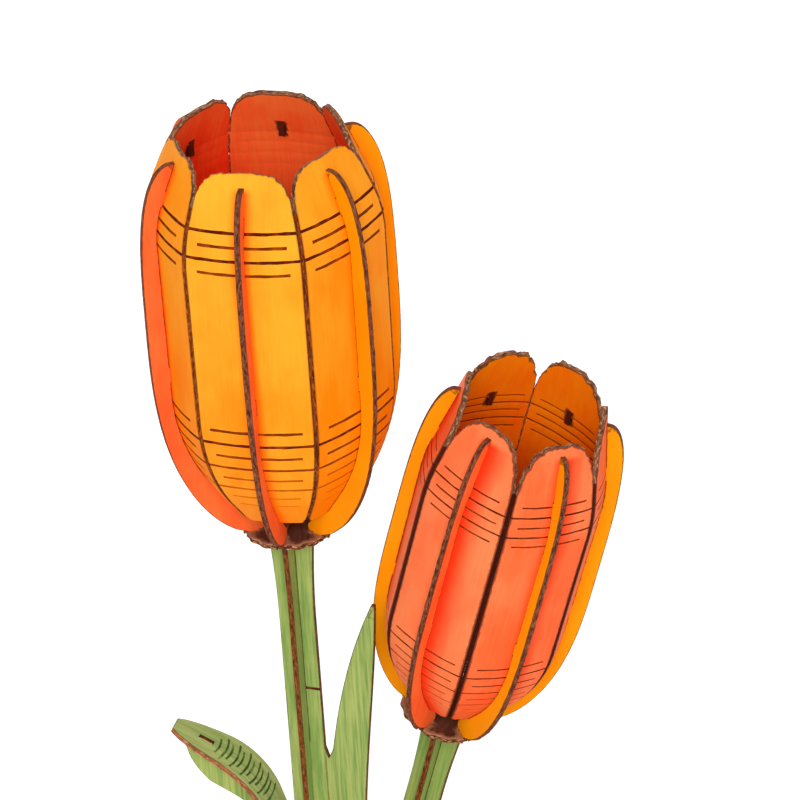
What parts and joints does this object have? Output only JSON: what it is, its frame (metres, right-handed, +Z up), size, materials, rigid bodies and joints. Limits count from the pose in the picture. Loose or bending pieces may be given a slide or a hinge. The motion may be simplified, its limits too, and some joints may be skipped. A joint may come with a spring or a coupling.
{
  "type": "wooden tulip puzzle",
  "caption": "Take-apart wooden tulip puzzle: tall and short cup-shaped flowers of bent scored sheet petals with curved ribs, on crossed-plank stems with leaves in a stand.",
  "frame": {"origin": "on the underside of the stand, straight below the tall tulip's stem", "axes": "+Z up along the tall stem, +X to the right and -Y to the front of the pictured view"},
  "size_m": [0.1191, 0.084, 0.2436],
  "materials": {
    "birch_wood": "bare birch sheet with burnt edges",
    "green_wood": "green stained sheet with burnt edges",
    "leaf_wood": "light green stained sheet with burnt edges",
    "yellow_petal_wood": "satin paint, yellow orange outside and red inside",
    "red_petal_wood": "satin paint, coral red outside and orange inside",
    "rib_wood": "satin paint, red on one side and yellow on the other, burnt edges",
    "disc_wood": "dark brown stained sheet"
  },
  "bodies": {
    "stand": {"stand_bottom_plate": "birch_wood", "stand_top_plate": "birch_wood"},
    "stem_1": {"stem_1_leaf_plank": "green_wood", "stem_1_cross_plank": "green_wood"},
    "leaf": {"bent_leaf": "leaf_wood"},
    "stem_2": {"stem_2_plank": "green_wood", "stem_2_cross_plank": "green_wood"},
    "head_1": {"collar_disc_1": "disc_wood", "sepal_disc_1": "disc_wood"},
    "head_2": {"collar_disc_2": "disc_wood", "sepal_disc_2": "disc_wood"},
    "petal_1_1": {"petal_1_1": "yellow_petal_wood", "rib_1_1": "rib_wood"},
    "petal_1_2": {"petal_1_2": "yellow_petal_wood", "rib_1_2": "rib_wood"},
    "petal_1_3": {"petal_1_3": "yellow_petal_wood", "rib_1_3": "rib_wood"},
    "petal_1_4": {"petal_1_4": "yellow_petal_wood", "rib_1_4": "rib_wood"},
    "petal_1_5": {"petal_1_5": "yellow_petal_wood", "rib_1_5": "rib_wood"},
    "petal_1_6": {"petal_1_6": "yellow_petal_wood", "rib_1_6": "rib_wood"},
    "petal_2_1": {"petal_2_1": "red_petal_wood", "rib_2_1": "rib_wood"},
    "petal_2_2": {"petal_2_2": "red_petal_wood", "rib_2_2": "rib_wood"},
    "petal_2_3": {"petal_2_3": "red_petal_wood", "rib_2_3": "rib_wood"},
    "petal_2_4": {"petal_2_4": "red_petal_wood", "rib_2_4": "rib_wood"},
    "petal_2_5": {"petal_2_5": "red_petal_wood", "rib_2_5": "rib_wood"},
    "petal_2_6": {"petal_2_6": "red_petal_wood", "rib_2_6": "rib_wood"}
  },
  "joints": [
    {"name": "stem_1_lift", "type": "slide", "parent": "stand", "child": "stem_1", "axis": [0, 0, 1], "range_m": [0, 0.01]},
    {"name": "stem_2_lift", "type": "slide", "parent": "stand", "child": "stem_2", "axis": [0.2522, -0.1638, 0.9537], "range_m": [0, 0.01]},
    {"name": "leaf_lift", "type": "slide", "parent": "stem_1", "child": "leaf", "axis": [0, 0, 1], "range_m": [0, 0.006]},
    {"name": "head_1_lift", "type": "slide", "parent": "stem_1", "child": "head_1", "axis": [0, 0, 1], "range_m": [0, 0.008]},
    {"name": "head_2_lift", "type": "slide", "parent": "stem_2", "child": "head_2", "axis": [0.2522, -0.1638, 0.9537], "range_m": [0, 0.008]},
    {"name": "petal_1_1_pull", "type": "slide", "parent": "head_1", "child": "petal_1_1", "axis": [-0.225, -0.9744, 0], "range_m": [0, 0.006]},
    {"name": "petal_1_2_pull", "type": "slide", "parent": "head_1", "child": "petal_1_2", "axis": [0.7314, -0.682, 0], "range_m": [0, 0.006]},
    {"name": "petal_1_3_pull", "type": "slide", "parent": "head_1", "child": "petal_1_3", "axis": [0.9563, 0.2924, 0], "range_m": [0, 0.006]},
    {"name": "petal_1_4_pull", "type": "slide", "parent": "head_1", "child": "petal_1_4", "axis": [0.225, 0.9744, 0], "range_m": [0, 0.006]},
    {"name": "petal_1_5_pull", "type": "slide", "parent": "head_1", "child": "petal_1_5", "axis": [-0.7314, 0.682, 0], "range_m": [0, 0.006]},
    {"name": "petal_1_6_pull", "type": "slide", "parent": "head_1", "child": "petal_1_6", "axis": [-0.9563, -0.2924, 0], "range_m": [0, 0.006]},
    {"name": "petal_2_1_pull", "type": "slide", "parent": "head_2", "child": "petal_2_1", "axis": [-0.6278, -0.7777, 0.0325], "range_m": [0, 0.006]},
    {"name": "petal_2_2_pull", "type": "slide", "parent": "head_2", "child": "petal_2_2", "axis": [0.3238, -0.9145, -0.2427], "range_m": [0, 0.006]},
    {"name": "petal_2_3_pull", "type": "slide", "parent": "head_2", "child": "petal_2_3", "axis": [0.9516, -0.1368, -0.2751], "range_m": [0, 0.006]},
    {"name": "petal_2_4_pull", "type": "slide", "parent": "head_2", "child": "petal_2_4", "axis": [0.6278, 0.7777, -0.0325], "range_m": [0, 0.006]},
    {"name": "petal_2_5_pull", "type": "slide", "parent": "head_2", "child": "petal_2_5", "axis": [-0.3238, 0.9145, 0.2427], "range_m": [0, 0.006]},
    {"name": "petal_2_6_pull", "type": "slide", "parent": "head_2", "child": "petal_2_6", "axis": [-0.9516, 0.1368, 0.2751], "range_m": [0, 0.006]}
  ]
}
